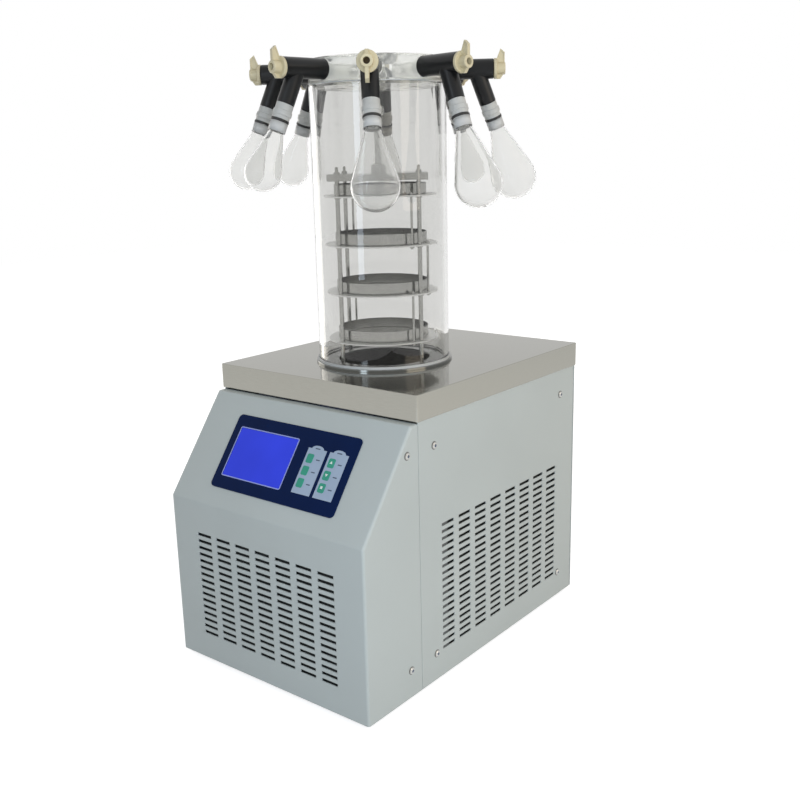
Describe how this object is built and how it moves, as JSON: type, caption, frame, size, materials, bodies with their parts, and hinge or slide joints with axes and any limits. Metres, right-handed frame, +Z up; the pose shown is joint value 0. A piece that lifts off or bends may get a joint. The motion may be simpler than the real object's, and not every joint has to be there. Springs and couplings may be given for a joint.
{
  "type": "bench-top manifold freeze dryer",
  "caption": "Bench-top manifold freeze dryer: louvred cabinet with a sloping control panel, clear chamber with shelves and trays, and a lid ringed by valves that hold glass flasks.",
  "frame": {"origin": "at bench level under the rubber feet, on the cabinet's centre line and midway between its toe and the tip of the rear vacuum spigot", "axes": "+Z up; the sloping control panel and front louvres face -Y; +X is to the right as seen from the front"},
  "size_m": [0.4522, 0.577, 0.8895],
  "materials": {
    "casing_paint": "light grey-green powder coat, satin",
    "stainless": "brushed",
    "stainless_polished": "polished stainless steel",
    "stainless_satin": "satin",
    "screw_steel": "bright plated",
    "frame_steel": "zinc-grey paint",
    "fascia_blue": "navy membrane",
    "screen_blue": "lit display window",
    "key_green": "satin",
    "foam": "closed-cell foam",
    "copper": "copper tube",
    "compressor_black": "black enamel",
    "fin_aluminium": "mill finish",
    "fan_plastic": "moulded",
    "black_plastic": "moulded",
    "rocker_plastic": "moulded",
    "brass_fitting": "machined",
    "lever_plastic": "moulded",
    "clear_silicone": "translucent seal",
    "clear_acrylic": "clear, polished",
    "white_plastic": "natural moulding",
    "rubber_black": "matt",
    "cream_plastic": "moulded",
    "frosted_glass": "frosted",
    "flask_glass": "clear borosilicate"
  },
  "bodies": {
    "cabinet": {"base_frame": "frame_steel", "feet": "rubber_black", "front_cover": "casing_paint", "side_panel_left": "casing_paint", "side_panel_right": "casing_paint", "rear_panel": "casing_paint", "worktop": "stainless", "casing_screws": "screw_steel", "control_fascia": "fascia_blue", "display_screen": "screen_blue", "cold_trap": "stainless_polished", "trap_insulation": "foam", "evaporator_coil": "copper", "compressor": "compressor_black", "condenser_coil": "fin_aluminium", "fan_housing": "frame_steel", "vacuum_port": "stainless_polished", "power_inlet": "black_plastic", "drain_valve": "brass_fitting", "seat_ring": "stainless_polished", "base_gasket": "clear_silicone", "chamber_tube": "clear_acrylic", "lid_gasket": "clear_silicone", "manifold_lid": "clear_acrylic", "port_nipples": "white_plastic", "valve_bodies": "rubber_black", "flask_adapters": "frosted_glass", "flask_1": "flask_glass", "flask_2": "flask_glass", "flask_3": "flask_glass", "flask_4": "flask_glass", "flask_5": "flask_glass", "flask_6": "flask_glass", "flask_7": "flask_glass", "flask_8": "flask_glass", "rack_hanger": "stainless_satin", "rack_rods": "stainless_satin", "shelf_plates": "stainless_satin", "tray_1": "stainless_satin", "tray_2": "stainless_satin", "tray_3": "stainless_satin", "tray_4": "stainless_satin"},
    "key_1": {"key_1": "key_green"},
    "key_2": {"key_2": "key_green"},
    "key_3": {"key_3": "key_green"},
    "key_4": {"key_4": "key_green"},
    "key_5": {"key_5": "key_green"},
    "key_6": {"key_6": "key_green"},
    "valve_knob_1": {"valve_knob_1": "cream_plastic"},
    "valve_knob_2": {"valve_knob_2": "cream_plastic"},
    "valve_knob_3": {"valve_knob_3": "cream_plastic"},
    "valve_knob_4": {"valve_knob_4": "cream_plastic"},
    "valve_knob_5": {"valve_knob_5": "cream_plastic"},
    "valve_knob_6": {"valve_knob_6": "cream_plastic"},
    "valve_knob_7": {"valve_knob_7": "cream_plastic"},
    "valve_knob_8": {"valve_knob_8": "cream_plastic"},
    "fan_blade": {"fan_blade": "fan_plastic"},
    "power_rocker": {"power_rocker": "rocker_plastic"},
    "drain_lever": {"drain_lever": "lever_plastic"}
  },
  "joints": [
    {"name": "key_1_press", "type": "slide", "parent": "cabinet", "child": "key_1", "axis": [0, 0.8017, -0.5977], "range_m": [0, 0.0005], "stiffness_N_per_m": 2000},
    {"name": "key_2_press", "type": "slide", "parent": "cabinet", "child": "key_2", "axis": [0, 0.8017, -0.5977], "range_m": [0, 0.0005], "stiffness_N_per_m": 2000},
    {"name": "key_3_press", "type": "slide", "parent": "cabinet", "child": "key_3", "axis": [0, 0.8017, -0.5977], "range_m": [0, 0.0005], "stiffness_N_per_m": 2000},
    {"name": "key_4_press", "type": "slide", "parent": "cabinet", "child": "key_4", "axis": [0, 0.8017, -0.5977], "range_m": [0, 0.0005], "stiffness_N_per_m": 2000},
    {"name": "key_5_press", "type": "slide", "parent": "cabinet", "child": "key_5", "axis": [0, 0.8017, -0.5977], "range_m": [0, 0.0005], "stiffness_N_per_m": 2000},
    {"name": "key_6_press", "type": "slide", "parent": "cabinet", "child": "key_6", "axis": [0, 0.8017, -0.5977], "range_m": [0, 0.0005], "stiffness_N_per_m": 2000},
    {"name": "valve_knob_1_turn", "type": "hinge", "parent": "cabinet", "child": "valve_knob_1", "pos_m": [0.0993, -0.14621, 0.8625], "axis": [0.5807, -0.8141, 0], "range_deg": [-180, 0]},
    {"name": "valve_knob_2_turn", "type": "hinge", "parent": "cabinet", "child": "valve_knob_2", "pos_m": [0.16865, -0.03522, 0.8625], "axis": [0.9863, -0.165, 0], "range_deg": [0, 180]},
    {"name": "valve_knob_3_turn", "type": "hinge", "parent": "cabinet", "child": "valve_knob_3", "pos_m": [0.13921, 0.0923, 0.8625], "axis": [0.8141, 0.5807, 0], "range_deg": [0, 180]},
    {"name": "valve_knob_4_turn", "type": "hinge", "parent": "cabinet", "child": "valve_knob_4", "pos_m": [0.02822, 0.16165, 0.8625], "axis": [0.165, 0.9863, 0], "range_deg": [0, 180]},
    {"name": "valve_knob_5_turn", "type": "hinge", "parent": "cabinet", "child": "valve_knob_5", "pos_m": [-0.0993, 0.13221, 0.8625], "axis": [-0.5807, 0.8141, 0], "range_deg": [0, 180]},
    {"name": "valve_knob_6_turn", "type": "hinge", "parent": "cabinet", "child": "valve_knob_6", "pos_m": [-0.16865, 0.02122, 0.8625], "axis": [-0.9863, 0.165, 0], "range_deg": [0, 180]},
    {"name": "valve_knob_7_turn", "type": "hinge", "parent": "cabinet", "child": "valve_knob_7", "pos_m": [-0.13921, -0.1063, 0.8625], "axis": [-0.8141, -0.5807, 0], "range_deg": [0, 180]},
    {"name": "valve_knob_8_turn", "type": "hinge", "parent": "cabinet", "child": "valve_knob_8", "pos_m": [-0.02822, -0.17566, 0.8625], "axis": [-0.165, -0.9863, 0], "range_deg": [0, 180]},
    {"name": "fan_spin", "type": "hinge", "parent": "cabinet", "child": "fan_blade", "pos_m": [0, -0.2265, 0.09], "axis": [0, 1, 0], "continuous": true},
    {"name": "power_rocker_tilt", "type": "hinge", "parent": "cabinet", "child": "power_rocker", "pos_m": [0.09, 0.2555, 0.308], "axis": [-1, 0, 0], "range_deg": [0, 24]},
    {"name": "drain_lever_turn", "type": "hinge", "parent": "cabinet", "child": "drain_lever", "pos_m": [-0.14, 0.2665, 0.042], "axis": [0, 0, -1], "range_deg": [0, 90]}
  ]
}
